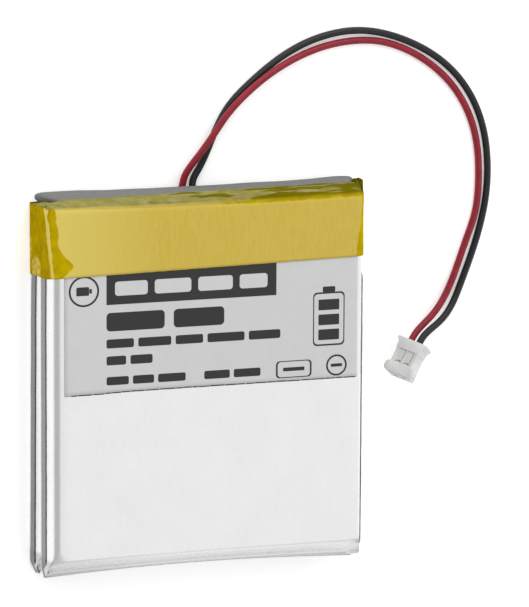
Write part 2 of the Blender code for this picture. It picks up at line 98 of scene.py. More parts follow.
# Drawn cup: its bottom slope as (distance in, height), and each other shoulder as (inset, rise)
CUP_SIDE_GAP = 0.16
CUP_LIP = 0.34
CUP_SLOPE = [
    (0.0, 0.34), (0.38, 0.5), (0.8, 0.8), (1.16, 1.35), (1.58, 2.05), (2.05, 2.85),
    (2.56, 3.75), (3.07, 4.6), (3.53, 5.28), (3.9, 5.6), (4.37, 5.7),
]
LEFT_SHOULDER = (1.77, 2.35)
RIGHT_SHOULDER = (0.75, 1.0)
TOP_SHOULDER = (1.3, 1.3)
END_STEPS = 56
SIDE_STEPS = 60
CORNER_STEPS = 6

# Tape band: rows of its body, of the crease over the end, and of the flap
BODY_ROWS = 24
CREASE_ROWS = 4
FLAP_ROWS = 14

# Foam strips: stations along them, and points round each
FOAM_STATIONS = 96
FOAM_POINTS = 44

# Label: its ink, and how it turns down over the cell's right shoulder
INK_HEIGHT = 0.012
LABEL_OVERHANG = 0.9
LABEL_BEND_START = 24.9
LABEL_BEND_RADIUS = 0.95


def corners(node):
    """A CAD node's lowest and highest corners, in millimetres."""
    low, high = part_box(node)
    return Vector(low) / MM, Vector(high) / MM


def smooth_step(value, low=0.0, high=1.0):
    part = min(1.0, max(0.0, (value - low) / (high - low)))
    return part * part * (3 - 2 * part)


def mix(a, b, part):
    return a + (b - a) * part


def wobble(x, y=0.0, z=0.0):
    """Smooth noise between about -1 and 1."""
    return noise.noise(Vector((x, y, z)))


# ---------------------------------------------------------------- meshes


def woven(rows, ring=False):
    """A mesh over rows of points in millimetres. A ring's rows close on themselves."""
    bm = bmesh.new()
    grid = [[bm.verts.new(Vector(point) * MM) for point in row] for row in rows]
    for lower, upper in zip(grid, grid[1:]):
        count = len(lower)
        for i in range(count if ring else count - 1):
            j = (i + 1) % count
            bm.faces.new((lower[i], lower[j], upper[j], upper[i]))
    return bm


def add_piece(name, bm, look, stands_for=()):
    bmesh.ops.recalc_face_normals(bm, faces=bm.faces)
    mesh = bpy.data.meshes.new(name)
    bm.to_mesh(mesh)
    bm.free()
    mesh.shade_smooth()
    mesh.materials.append(look)
    obj = bpy.data.objects.new(name, mesh)
    bpy.context.scene.collection.objects.link(obj)
    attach(obj, "root")
    if stands_for:
        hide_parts(*stands_for)
    return obj


def thicken(obj, thickness, offset, even=True):
    """Gives an open sheet its thickness: offset -1 is inwards, 0 is half to each side."""
    shell = obj.modifiers.new("thickness", "SOLIDIFY")
    shell.thickness = thickness * MM
    shell.offset = offset
    shell.use_even_offset = even


def round_edges(obj, width, segments, angle):
    rounding = obj.modifiers.new("rounded_edges", "BEVEL")
    rounding.width = width * MM
    rounding.segments = segments
    rounding.limit_method = "ANGLE"
    rounding.angle_limit = math.radians(angle)


def arc(centre, radius, start, end, steps):
    """Points on a circular arc between two angles in degrees."""
    angles = np.radians(np.linspace(start, end, steps + 1))
    return [(centre[0] + radius * math.cos(a), centre[1] + radius * math.sin(a)) for a in angles]


# ---------------------------------------------------------------- looks


class Look:
    """A material with the few node helpers that the looks below share."""

    def __init__(self, name, colour, roughness, metallic=0.0, **sockets):
        self.material = bpy.data.materials.new(name)
        self.material.use_nodes = True
        self.tree = self.material.node_tree
        self.shader = self.tree.nodes["Principled BSDF"]
        self.colour = (*colour, 1.0)
        self.roughness = roughness
        self.set("Base Color", self.colour)
        self.set("Roughness", roughness)
        self.set("Metallic", metallic)
        for socket, value in sockets.items():
            self.set(socket.replace("_", " "), value)
        self.height = None

    def set(self, socket, value):
        self.shader.inputs[socket].default_value = value

    def add(self, kind, inputs=None, **settings):
        node = self.tree.nodes.new("ShaderNode" + kind)
        for key, value in settings.items():
            setattr(node, key, value)
        for key, value in (inputs or {}).items():
            if isinstance(value, bpy.types.NodeSocket):
                self.tree.links.new(value, node.inputs[key])
            else:
                node.inputs[key].default_value = value
        return node

    def place(self, stretch=(1, 1, 1)):
        """Positions on the piece, stretched along each axis by the three numbers."""
        coordinates = self.add("TexCoord").outputs["Object"]
        scale = tuple(1 / s for s in stretch)
        return self.add("Mapping", {"Vector": coordinates, "Scale": scale}).outputs["Vector"]

    def noise(self, size, detail=3.0, stretch=(1, 1, 1), rough=0.55):
        """Noise with features of the given size in millimetres."""
        inputs = {
            "Vector": self.place(stretch),
            "Scale": 1 / (size * MM),
            "Detail": detail,
            "Roughness": rough,
        }
        return self.add("TexNoise", inputs).outputs["Fac"]

    def ramp(self, value, low, high, to_low=0.0, to_high=1.0):
        inputs = {"Value": value, "From Min": low, "From Max": high, "To Min": to_low, "To Max": to_high}
        return self.add("MapRange", inputs).outputs["Result"]

    def math(self, operation, a, b=0.0):
        node = self.add("Math", {0: a, 1: b}, operation=operation)
        return node.outputs["Value"]

    def blend(self, part, a, b):
        """A colour between a and b, which are colours or sockets."""
        node = self.add("Mix", {"Factor": part}, data_type="RGBA")
        for socket, value in ((node.inputs[6], a), (node.inputs[7], b)):
            if isinstance(value, bpy.types.NodeSocket):
                self.tree.links.new(value, socket)
            else:
                socket.default_value = (*value, 1.0)
        return node.outputs[2]

    def attribute(self, name):
        return self.add("Attribute", attribute_name=name).outputs["Fac"]

    def paint(self, value):
        self.tree.links.new(value, self.shader.inputs["Base Color"])

    def polish(self, value):
        self.tree.links.new(value, self.shader.inputs["Roughness"])

    def emboss(self, value, depth):
        """Raises the surface by value times depth in millimetres, over what is already raised."""
        inputs = {"Height": value, "Distance": depth * MM}
        if self.height:
            inputs["Normal"] = self.height
        self.height = self.add("Bump", inputs).outputs["Normal"]
        self.tree.links.new(self.height, self.shader.inputs["Normal"])

    def shade(self, part, spread):
        """Makes the base colour vary by spread, lighter where part is high."""
        dark = scaled(self.colour[:3], 1 - spread)
        light = scaled(self.colour[:3], 1 + spread)
        self.paint(self.blend(part, dark, light))


def scaled(colour, factor):
    return tuple(min(1.0, channel * factor) for channel in colour)


def grained(
    name, colour, roughness, metallic=0.0, size=0.2, depth=0.004, spread=0.06, stretch=(1, 1, 1), **sockets
):
    """A surface with a fine grain that its colour, gloss and relief share."""
    look = Look(name, colour, roughness, metallic, **sockets)
    grain = look.noise(size, 4.0, stretch)
    patches = look.noise(size * 12, 2.0)
    look.shade(look.ramp(patches, 0.3, 0.7), spread)
    look.polish(look.ramp(grain, 0.3, 0.7, roughness * 0.85, min(1.0, roughness * 1.15)))
    look.emboss(grain, depth)
    return look


# ---------------------------------------------------------------- camera, leads, floor and light


def aim_camera():
    azimuth = math.radians(CAMERA_AZIMUTH)
    elevation = math.radians(CAMERA_ELEVATION)
    roll = math.radians(CAMERA_ROLL)
    side = -math.sin(azimuth) * math.cos(elevation)
    back = Vector((side, math.sin(elevation), math.cos(azimuth) * math.cos(elevation)))
    level = Vector((0, 1, 0)).cross(back).normalized()
    upright = back.cross(level)
    right = math.cos(roll) * level + math.sin(roll) * upright
    up = math.cos(roll) * upright - math.sin(roll) * level
    data = bpy.data.cameras.new("camera")
    data.lens = CAMERA_LENS
    camera = bpy.data.objects.new("camera", data)
    camera.matrix_world = Matrix((right, up, back)).transposed().to_4x4()
    camera.location = (CAMERA_TARGET + back * CAMERA_DISTANCE) * MM
    bpy.context.scene.collection.objects.link(camera)
    bpy.context.scene.camera = camera


def smooth_line(route, spacing):
    """Evenly spaced points on the natural cubic spline through a route."""
    points = np.array(route, float)
    gaps = np.linalg.norm(np.diff(points, axis=0), axis=1)
    marks = np.concatenate([[0.0], np.cumsum(gaps)])
    count = len(points)
    system = np.eye(count)
    wanted = np.zeros((count, 3))
    for i in range(1, count - 1):
        system[i, i - 1 : i + 2] = (gaps[i - 1], 2 * (gaps[i - 1] + gaps[i]), gaps[i])
        ahead = (points[i + 1] - points[i]) / gaps[i]
        behind = (points[i] - points[i - 1]) / gaps[i - 1]
        wanted[i] = 6 * (ahead - behind)
    bends = np.linalg.solve(system, wanted)
    at = np.linspace(0.0, marks[-1], 4000)
    k = np.clip(np.searchsorted(marks, at) - 1, 0, count - 2)
    gap = gaps[k][:, None]
    after = (at - marks[k])[:, None]
    before = gap - after
    line = (
        (bends[k] * before**3 + bends[k + 1] * after**3) / (6 * gap)
        + (points[k] / gap - bends[k] * gap / 6) * before
        + (points[k + 1] / gap - bends[k + 1] * gap / 6) * after
    )
    travelled = np.concatenate([[0.0], np.cumsum(np.linalg.norm(np.diff(line, axis=0), axis=1))])
    even = np.linspace(0.0, travelled[-1], int(travelled[-1] / spacing) + 1)
    return np.stack([np.interp(even, travelled, line[:, axis]) for axis in range(3)], axis=1), travelled[-1]


def make_lead(name, route, look):
    points, length = smooth_line(route, LEAD_SPACING)
    curve = bpy.data.curves.new(name, "CURVE")
    curve.dimensions = "3D"
    curve.bevel_depth = LEAD_DIAMETER / 2 * MM
    curve.bevel_resolution = 6
    curve.use_fill_caps = True
    spline = curve.splines.new("POLY")
    spline.points.add(len(points) - 1)
    for point, place in zip(spline.points, points):
        point.co = (*(place * MM), 1.0)
    spline.use_smooth = True
    curve.materials.append(look.material)
    lead = bpy.data.objects.new("visual_" + name, curve)
    bpy.context.scene.collection.objects.link(lead)
    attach(lead, "root")
    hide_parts(name)


def lead_look(name, colour):
    """Extruded PVC insulation: satin, with faint draw lines and handling marks."""
    look = Look(name, colour, 0.38, Specular_IOR_Level=0.3)
    look.shade(look.ramp(look.noise(1.6, 3.0), 0.35, 0.65), 0.12)
    look.polish(look.ramp(look.noise(0.5, 4.0), 0.3, 0.7, 0.3, 0.48))
    look.emboss(look.noise(0.35, 4.0), 0.006)
    return look


def make_floor():
    bm = bmesh.new()
    bmesh.ops.create_grid(bm, x_segments=8, y_segments=8, size=2.5)
    mesh = bpy.data.meshes.new("floor")
    bm.to_mesh(mesh)
    bm.free()
    floor = bpy.data.objects.new("floor", mesh)
    bpy.context.scene.collection.objects.link(floor)
    look = Look("floor", (0.92, 0.92, 0.92), 0.9, Specular_IOR_Level=0.1, Emission_Strength=0.3)
    look.shade(look.noise(60.0, 2.0), 0.004)
    mesh.materials.append(look.material)


def light_studio():
    """A white room: brightest low down and to the right, greyer up to the left, with one large soft key."""
    world = bpy.data.worlds.new("studio")
    world.use_nodes = True
    bpy.context.scene.world = world
    tree = world.node_tree
    background = tree.nodes["Background"]
    background.inputs["Color"].default_value = (1.0, 1.0, 1.0, 1.0)
    direction = tree.nodes.new("ShaderNodeTexCoord").outputs["Generated"]
    split = tree.nodes.new("ShaderNodeSeparateXYZ")
    tree.links.new(direction, split.inputs[0])

    def ramp(value, low, high, to_low, to_high):
        node = tree.nodes.new("ShaderNodeMapRange")
        node.interpolation_type = "SMOOTHSTEP"
        for socket, number in zip(node.inputs[1:5], (low, high, to_low, to_high)):
            socket.default_value = number
        tree.links.new(value, node.inputs[0])
        return node.outputs["Result"]

    side = ramp(split.outputs["X"], -0.12, 0.16, 0.6, 1.15)
    low_down = ramp(split.outputs["Z"], 0.25, 0.42, 1.0, 0.0)
    both = tree.nodes.new("ShaderNodeMix")
    both.data_type = "FLOAT"
    tree.links.new(low_down, both.inputs[0])
    tree.links.new(side, both.inputs[2])
    tree.links.new(ramp(split.outputs["Y"], -0.85, -0.35, 0.8, 1.35), both.inputs[3])
    tree.links.new(both.outputs[0], background.inputs["Strength"])

    key = bpy.data.lights.new("key", "AREA")
    key.shape = "RECTANGLE"
    key.size = 0.7
    key.size_y = 0.5
    key.energy = 2.8
    lamp = bpy.data.objects.new("key", key)
    lamp.location = (-0.1, 0.62, 0.5)
    lamp.rotation_mode = "QUATERNION"
    lamp.rotation_quaternion = lamp.location.to_track_quat("Z", "Y")
    bpy.context.scene.collection.objects.link(lamp)


# ---------------------------------------------------------------- pouch cells


def foil_look(name, colour, roughness, dull=0.0):
    """Aluminium laminate: mirror foil under nylon film, with rolling lines, soft dents and painted shade on
    the cup's bottom slope.
    """
    look = Look(name, colour, roughness, 1.0, Coat_Weight=0.2, Coat_Roughness=0.25)
    rolling = look.noise(0.5, 3.0, (1, 5, 1))
    cloud = look.noise(7.0, 3.0)
    tint = look.blend(look.ramp(cloud, 0.3, 0.7), scaled(colour, 0.98), scaled(colour, 1.02))
    split = look.add("SeparateXYZ", {"Vector": look.place()}).outputs
    # Painted shade: the colour is darker on the cup's bottom slope, and darker again towards the left,
    # standing in for the shadowed floor that the slope reflects.
    across = look.ramp(split["X"], -25 * MM, -8 * MM)
    painted_slope_shade = look.blend(across, scaled(colour, 0.64), scaled(colour, 0.79))
    look.paint(look.blend(look.ramp(split["Y"], -27.3 * MM, -26.7 * MM), painted_slope_shade, tint))
    look.polish(look.ramp(rolling, 0.3, 0.7, roughness - 0.02, roughness + 0.03))
    look.emboss(look.noise(6.0, 2.0), 0.012)
    look.emboss(rolling, 0.0001 + dull * 0.0015)
    return look


def end_taper(y, depth):
    """How far each side is drawn in near the bottom end, where the seal is folded round the corner."""
    return depth * max(0.0, 1 - y / 2.0) ** 1.1


def side_wave(y, seed):
    """The slow waviness that a cell's side and its folded seal share."""
    return 0.06 * wobble(y * 0.11, seed) + 0.02 * wobble(y * 0.5, seed + 3)


def shoulder_point(shoulder, t):
    """How far in, and how high, a shoulder of this inset and rise is, for t from 0 at the lip to 1."""
    inset, rise = shoulder
    if t < 0.2:
        return 0.0, mix(CUP_LIP, CELL_THICKNESS - rise, t / 0.2)
    turn = math.radians(90 * (t - 0.2) / 0.8)
    return inset * (1 - math.cos(turn)), CELL_THICKNESS - rise + rise * math.sin(turn)


def cup_outline(left, right, low, high, corner, heights):
    """Points round the cup, whose sides each have a height: bottom end, right, top end, left."""
    bottom_z, right_z, top_z, left_z = heights
    points = []

    def line(start, end, z, steps):
        for i in range(steps):
            part = i / steps
            points.append((mix(start[0], end[0], part), mix(start[1], end[1], part), z))

    def turn(x, y, start, z, next_z):
        for i in range(CORNER_STEPS):
            part = i / CORNER_STEPS
            a = math.radians(start + 90 * part)
            height = mix(z, next_z, smooth_step(part))
            points.append((x + corner * math.cos(a), y + corner * math.sin(a), height))

    line((left + corner, low), (right - corner, low), bottom_z, END_STEPS)
    turn(right - corner, low + corner, -90, bottom_z, right_z)
    line((right, low + corner), (right, high - corner), right_z, SIDE_STEPS)
    turn(right - corner, high - corner, 0, right_z, top_z)
    line((right - corner, high), (left + corner, high), top_z, END_STEPS)
    turn(left + corner, high - corner, 90, top_z, left_z)
    line((left, high - corner), (left, low + corner), left_z, SIDE_STEPS)
    turn(left + corner, low + corner, 180, left_z, bottom_z)
    return points


def cup_skin(base, length, seed, taper):
    """The drawn cup: steep sides, rounded shoulders, a long slope at the bottom with a flared lip.

    base is the lowest corner of the cell's back sheet. The sides pull in a little between the
    corners, and each bottom corner draws out to a point.
    """
    half = corners("front_pouch_back")[1].x - CUP_SIDE_GAP
    rows = []
    for k, (inwards, height) in enumerate(CUP_SLOPE):
        t = k / (len(CUP_SLOPE) - 1)
        left_in, left_z = shoulder_point(LEFT_SHOULDER, t)
        right_in, right_z = shoulder_point(RIGHT_SHOULDER, t)
        top_in, top_z = shoulder_point(TOP_SHOULDER, t)
        heights = (height, right_z, top_z, left_z)
        outline = cup_outline(
            left_in - half, half - right_in, inwards, length - top_in, mix(0.35, 1.9, t), heights
        )
        row = []
        for x, y, z in outline:
            across = x / half
            near_end = max(0.0, 1 - y / (length / 2)) ** 8
            pull = (1 - across * across) * 0.8 * (1 - t) ** 0.5 * near_end
            longer = 0.35 * smooth_step(x, -half, 0.2 * half) * t * near_end
            x *= 1 - end_taper(y, taper) / half
            x += across * side_wave(y, seed)
            row.append((base.x + x, base.y + y + pull + longer, base.z + z))
        rows.append(row)
    edge = rows[-1]
    centre_x = sum(p[0] for p in edge) / len(edge)
    centre_y = sum(p[1] for p in edge) / len(edge)
    for part in (0.06, 0.14, 0.3, 0.5, 0.7, 0.88):
        swell = 0.05 * smooth_step(part, 0.0, 0.3)
        ring = []
        for x, y, z in edge:
            px = mix(x, centre_x, part)
            py = mix(y, centre_y, part)
            ring.append((px, py, z + swell * wobble(px * 0.09, py * 0.07, seed)))
        rows.append(ring)
    bm = woven(rows, ring=True)
    bm.verts.ensure_lookup_table()
    bmesh.ops.contextual_create(bm, geom=bm.verts[-len(edge):])
    return bm


def back_skin(base, length, seed, taper, cut_back, flare):
    """The back sheet, whose side seals stand up along the cup.

    The seals are a little wavy and cut back obliquely at the bottom. The right one leans out by
    flare, up to where the tape holds it.
    """
    low, high = corners("front_pouch_back")
    half = (high.x - low.x) / 2 - SEAL / 2
    bend = 0.5
    start = bend + SEAL / 2
    tape = corners("tape_band")[0].y - base.y
    rows = []
    for k in range(91):
        y = length * (k / 90) ** 1.25
        wave = side_wave(y, seed)
        top = SEAL_HEIGHT + 0.16 * wobble(y * 0.11, seed + 9) + 0.05 * wobble(y * 0.9, seed + 2)
        profile = [(-half, top - i * (top - start) / 8) for i in range(8)]
        profile += arc((bend - half, start), bend, 180, 270, 6)
        profile += [(x, SEAL / 2) for x in np.linspace(bend - half, half - bend, 24)[1:-1]]
        profile += arc((half - bend, start), bend, 270, 360, 6)
        profile += [(half, top - (8 - i) * (top - start) / 8) for i in range(1, 9)]
        row = []
        for x, z in profile:
            rise = max(0.0, z - bend) / (SEAL_HEIGHT - bend)
            cut = cut_back * rise * max(0.0, 1 - y / length) ** 3
            if x > 0:
                cut *= 0.75
            lean = (wave - 0.04 * rise) * (x / half) * abs(x / half) ** 3
            free = smooth_step(y, -1.0, 2.5) * (1 - smooth_step(y, tape - 3.5, tape - 0.8))
            lean += flare * rise * free * smooth_step(x, 0.9 * half, half)
            lean -= x / half * end_taper(y, taper)
            pinch = 0.8 * (1 - (x / half) ** 2) * max(0.0, 1 - y / 3.0) ** 2
            row.append((base.x + x + lean, base.y + min(length, y + cut) + pinch, base.z + z))
        rows.append(row)
    return woven(rows)


def make_cells():
    face = foil_look("pouch_foil", (0.73, 0.73, 0.735), 0.27)
    # The standing seals are duller foil, darkened further as painted shade; the rear cell's copy is darker
    # still, as painted shade between the cells.
    seal_foils_with_painted_shade = {
        "rear": foil_look("rear_seal_foil_and_painted_shade", (0.135, 0.135, 0.14), 0.36, 1.0),
        "front": foil_look("front_seal_foil_and_painted_shade", (0.18, 0.18, 0.185), 0.36, 1.0),
    }
    for side, seed, taper, cut_back, flare, skew in (
        ("rear", 3.1, 0.9, 0.6, 0.0, 0.0075),
        ("front", 10.1, 0.5, 1.7, 0.62, 0.002),
    ):
        low, high = corners(side + "_pouch_back")
        base = Vector(((low.x + high.x) / 2, low.y, low.z))
        cup = add_piece(
            side + "_cell_cup",
            cup_skin(base, CUP_LENGTH, seed, taper),
            face.material,
            [side + "_pouch_cup"],
        )
        thicken(cup, FOIL, -1.0)
        back = add_piece(
            side + "_cell_back",
            back_skin(base, high.y - low.y, seed, taper, cut_back, flare),
            face.material,
            [side + "_pouch_back"],
        )
        back.data.materials.append(seal_foils_with_painted_shade[side].material)
        for polygon in back.data.polygons:
            raised = polygon.center.z / MM - base.z > 0.9
            polygon.material_index = 1 if raised and abs(polygon.normal.x) > 0.7 else 0
        thicken(back, SEAL, 0.0)
        for piece in (cup, back):
            for vertex in piece.data.vertices:
                on_left = smooth_step(-vertex.co.x / MM, 0.0, 26.0)
                vertex.co.x += skew * on_left * (vertex.co.y - 20 * MM)


# ---------------------------------------------------------------- tape band


def band_outline():
    """Points round the band's cross-section: (x, z), from the middle of the back towards +X."""
    low, high = corners("tape_band")
    half = high.x - TAPE / 2
    bottom, top = low.z + TAPE / 2, high.z - TAPE / 2
    rear, front = 0.95, 1.55
    step = 0.45

    def straight(start, end):
        count = max(2, int(math.dist(start, end) / step))
        return [(mix(start[0], end[0], i / count), mix(start[1], end[1], i / count)) for i in range(count)]

    return (
        straight((0, bottom), (half - rear, bottom))
        + arc((half - rear, bottom + rear), rear, -90, 0, 7)[:-1]
        + straight((half, bottom + rear), (half, top - front))
        + arc((half - front, top - front), front, 0, 90, 12)[:-1]
        + straight((half - front, top), (front - half, top))
        + arc((front - half, top - front), front, 90, 180, 12)[:-1]
        + straight((-half, top - front), (-half, bottom + rear))
        + arc((rear - half, bottom + rear), rear, 180, 270, 7)[:-1]
        + straight((rear - half, bottom), (0, bottom))
    )


def band_low_edge(x, z):
    return 19.72 + 0.018 * x - 0.65 * (1 - z / 12) * (1 - x / 26) + 0.05 * wobble(x * 0.9, z)


def band_crease(x, z):
    """Where the band turns over the end. It is lower at the back of the left side."""
    ends = (0.5 if x < 0 else 0.25) * (x / 26) ** 2
    fall = (1.0 if x < 0 else 0.4) * (1 - z / 12) * abs(x / 26)
    return 30.02 + ends - fall + 0.05 * wobble(x * 0.25, 4.0) + 0.03 * wobble(x * 1.3, z)


def foam_face(z):
    """The level of the foam's outer face, which slopes down to the front."""
    return mix(31.1, 29.95, smooth_step(z, 5.5, 11.9))


def flap_end(x, z):
    """Where a point of the band's rim ends up once it is folded over the end: (x, y, z)."""
    if x > 0:
        front = smooth_step(z, 10.3, 11.85)
        gusset = 26.35
        ear = 1.9 * smooth_step(z, 2.5, 6.0) + 0.55 * smooth_step(z, 6.0, 9.0)
    else:
        front = smooth_step(z, 9.0, 11.85)
        gusset = mix(-25.9, -24.2, smooth_step(z, 1.0, 7.0))
        ear = 0.5 * smooth_step(z, 1.5, 6.0)
    deep = mix(4.0, 5.0, smooth_step(x, -26, 20))
    deep += 0.3 * wobble(x * 0.22, 8.0) + 0.08 * wobble(x * 1.1, 2.0)
    inner = math.copysign(min(abs(x), 25.8), x)
    across = mix(gusset, inner, front) if abs(x) > 24.9 else x
    down = z - deep * front**1.5 - 0.2 * (1 - front)
    level = foam_face(down) + 0.34 + 0.1 * abs(wobble(x * 0.5, 1.0))
    level -= 0.3 * smooth_step(-x, 23.0, 25.2)
    return across, mix(29.8 + ear + 0.1 * wobble(z * 0.9, x), level, front), down


def body_point(x, z, share):
    """A point of the band's body, at a share of its way from the lower edge to the crease."""
    on_side = abs(x) > 26
    waist = 0.1 * math.exp(-(((z - 5.9) / 1.6) ** 2)) if on_side else 0.0
    crumple = 0.12 * smooth_step(share, 0.75, 1.0) * smooth_step(abs(x), 23.5, 26)
    ripple = 0.05 * wobble(z * 0.5 + x * 0.3, share * 2, 5.0)
    ripple += crumple * wobble(x, z * 1.4, share * 5)
    px = x - math.copysign(waist, x) + (ripple if on_side else 0)
    pz = z + (ripple * 0.5 if z > 11 else 0)
    return px, mix(band_low_edge(x, z), band_crease(x, z) - 0.3, share), pz


def folded_point(x, z, row):
    """A point of the crease and the flap. row counts from 1 at the first row of the crease."""
    px, y, pz = body_point(x, z, 1.0)
    end_x, end_y, end_z = flap_end(x, z)
    rear = 1 - smooth_step(z, 1.5, 4.0)
    turned = min(1.0, row / CREASE_ROWS)
    part = max(0.0, row / (CREASE_ROWS + FLAP_ROWS) - 0.06 * (1 - turned)) * (1 - rear)
    part += rear * row / (CREASE_ROWS + FLAP_ROWS) * 0.02
    y = mix(y, band_crease(x, z), math.sin(turned * math.pi / 2))
    y = mix(y, end_y, smooth_step(part, 0.0, 0.35 if z > 11.5 else 0.9))
    wrinkle = 0.1 * wobble(x * 0.45 + part * 2.2, part * 3, 9.0)
    corner = smooth_step(abs(x), 23.2, 25.2) * (1 - rear)
    wrinkle += corner * 0.3 * wobble(x * 1.3, part * 3.4, z * 0.8)
    return mix(px, end_x, part), y + wrinkle * math.sin(part * math.pi), mix(pz, end_z, part)


def band_skin():
    """The band's open sheet, and how wetted and how folded over each point is.

    Wetted is the width in millimetres past a wet edge, and folded goes from 0 on the body to 1 on
    the flap.
    """
    outline = band_outline()
    rows, wet, folded = [], [], []
    for k in range(BODY_ROWS + CREASE_ROWS + FLAP_ROWS):
        row = []
        for x, z in outline:
            if k < BODY_ROWS:
                point = body_point(x, z, k / BODY_ROWS)
            else:
                point = folded_point(x, z, k - BODY_ROWS + 1)
            row.append(point)
            along_crease = 0.35 * smooth_step(x, -4, 8) - 0.2
            inside = wetness(x, z, point[1])
            if k > BODY_ROWS + 1:
                inside = along_crease
            elif k >= BODY_ROWS:
                inside = max(inside, along_crease)
            elif k == BODY_ROWS - 1:
                inside = max(inside, along_crease - 0.5)
            wet.append(inside)
            folded.append(smooth_step(k, BODY_ROWS + 0.1, BODY_ROWS + 1.9))
        rows.append(row)
    return rows, wet, folded


def wetness(x, z, y):
    """Millimetres inside the wetted part of the band. It takes up the left side and corner, less a pale
    streak and blotches that are partly painted highlight and sheen.
    """
    if z < 0.3:
        return -0.2 + 1.5 * wobble(x * 0.25, y * 0.3, 6.0)
    if x > 24:
        edge = mix(24.75, 25.75, smooth_step(y, 19.5, 29.5)) + 0.15 * wobble(y * 0.5, 3.0)
        return x - edge
    if x > -20:
        return -3.0
    foot = math.exp(-(((y - 21.2) / 1.7) ** 2))
    patch = mix(-24.6, -25.1, smooth_step(y, 25, 30)) + 2.3 * foot + 0.25 * wobble(y * 0.5, 7.0)
    # Painted highlight: a pale, less wetted streak along the band's rounded left front corner, partly
    # un-wetted film.
    streak = -25.85 - 0.15 * (y - 20.5) - 0.4 * smooth_step(y, 27.5, 29.6)
    width = mix(0.28, 0.5, smooth_step(y, 20, 28)) + 0.6 * smooth_step(y, 29.3, 30.2)
    round_corner = x if z > 11.9 else x - (11.9 - z) * 0.9
    in_painted_highlight = abs(round_corner - streak) - width
    # The two blotches stay only slightly wetted and show paler: partly drier film, partly painted sheen.
    low_sheen_blotch = math.hypot((z - 4.8) / 2.5, (y - 19.6) / 1.9) - 1.0
    rear_sheen_blotch = math.hypot((z - 1.2) / 0.9, (y - 22.6) / 1.9) - 1.0
    return min(patch - x, in_painted_highlight, max(0.02, low_sheen_blotch), max(0.04, rear_sheen_blotch))


def tape_look():
    """Yellow film tape: matt and pale with faint fibres, deep and glossy where its glue has wetted out."""
    look = Look("yellow_tape", (0.66, 0.52, 0.12), 0.42, Specular_IOR_Level=0.0)
    fibres = look.noise(0.22, 3.0, (1, 9, 1))
    mottle = look.noise(1.6, 3.0)
    edge = look.math("ADD", look.attribute("wet"), look.ramp(look.noise(0.9, 3.0), 0.25, 0.75, -0.14, 0.14))
    wet = look.ramp(edge, -0.08, 0.12)
    folded = look.attribute("folded")
    side = look.add("SeparateXYZ", {"Vector": look.place()}).outputs["X"]
    dry = look.blend(look.ramp(fibres, 0.25, 0.75), (0.49, 0.36, 0.06), (0.54, 0.41, 0.083))
    dry = look.blend(look.ramp(side, -24 * MM, -8 * MM), (0.59, 0.47, 0.11), dry)
    deep = look.blend(look.ramp(mottle, 0.35, 0.65), (0.37, 0.26, 0.001), (0.47, 0.345, 0.001))
    shaded = look.blend(look.ramp(mottle, 0.35, 0.65), (0.29, 0.195, 0.001), (0.37, 0.26, 0.002))
    deep = look.blend(look.ramp(side, -26.15 * MM, -25.6 * MM), shaded, deep)
    body = look.blend(wet, dry, deep)
    over_foam = look.blend(look.ramp(mottle, 0.3, 0.7), (0.20, 0.175, 0.04), (0.27, 0.25, 0.085))
    more = look.ramp(side, -14 * MM, 24 * MM, -0.12, 0.09)
    channels = look.ramp(look.math("ADD", look.noise(1.1, 2.0, (8.0, 1, 1)), more), 0.49, 0.54)
    flap = look.blend(channels, over_foam, (0.125, 0.105, 0.003))
    look.paint(look.blend(folded, body, flap))
    look.polish(look.ramp(wet, 0.0, 1.0, 0.46, 0.22))
    look.emboss(fibres, 0.002)
    look.emboss(look.noise(2.5, 2.0), 0.02)
    look.emboss(look.math("MULTIPLY", look.noise(1.0, 2.0, (6.0, 1, 1)), folded), 0.5)
    return look


def make_tape():
    rows, wet, folded = band_skin()
    sheet = woven(rows, ring=True)
    band = add_piece("tape_wrap", sheet, tape_look().material, ["tape_band"])
    for name, values in (("wet", wet), ("folded", folded)):
        attribute = band.data.attributes.new(name, "FLOAT", "POINT")
        attribute.data.foreach_set("value", np.array(values, np.float32))
    thicken(band, TAPE * 0.8, 0.0, even=False)


# ---------------------------------------------------------------- foam


def foam_look(name, colour):
    """Closed-cell foam: matt, with fine pores and paler and darker flecks."""
    look = Look(name, colour, 0.95, Specular_IOR_Level=0.2)
    pores = look.noise(0.16, 5.0, rough=0.7)
    look.shade(look.ramp(pores, 0.35, 0.65), 0.22)
    look.emboss(pores, 0.03)
    look.emboss(look.noise(1.2, 2.0), 0.08)
    return look


def foam_block(name, node, look, face, bend):
    """A foam strip along X with soft edges and rounded ends.

    face(x, y, z) shapes its outer side, and bend(x, y, z, end) moves its ends: end is -1 to 1.
    """
    low, high = corners(node)
    middle = (low + high) / 2
    size = (high - low) / 2
    rows = []
    for k in range(FOAM_STATIONS + 1):
        along = -math.cos(math.pi * k / FOAM_STATIONS)
        x = middle.x + size.x * along
        swell = mix(0.45, 1.0, (1 - abs(along) ** 60) ** 0.5)
        row = []
        for i in range(FOAM_POINTS):
            a = 2 * math.pi * i / FOAM_POINTS
            cosine, sine = math.cos(a), math.sin(a)
            y = middle.y + size.y * swell * math.copysign(abs(cosine) ** 0.35, cosine)
            z = middle.z + size.z * math.copysign(abs(sine) ** 0.35, sine) * mix(0.9, 1.0, swell)
            row.append(bend(x, face(x, y, z), z, along**9))
        rows.append(row)
    bm = woven(rows, ring=True)
    bm.verts.ensure_lookup_table()
    bm.faces.new(bm.verts[:FOAM_POINTS])
    bm.faces.new(bm.verts[-FOAM_POINTS:])
    piece = add_piece(name, bm, look.material, [node])
    return piece


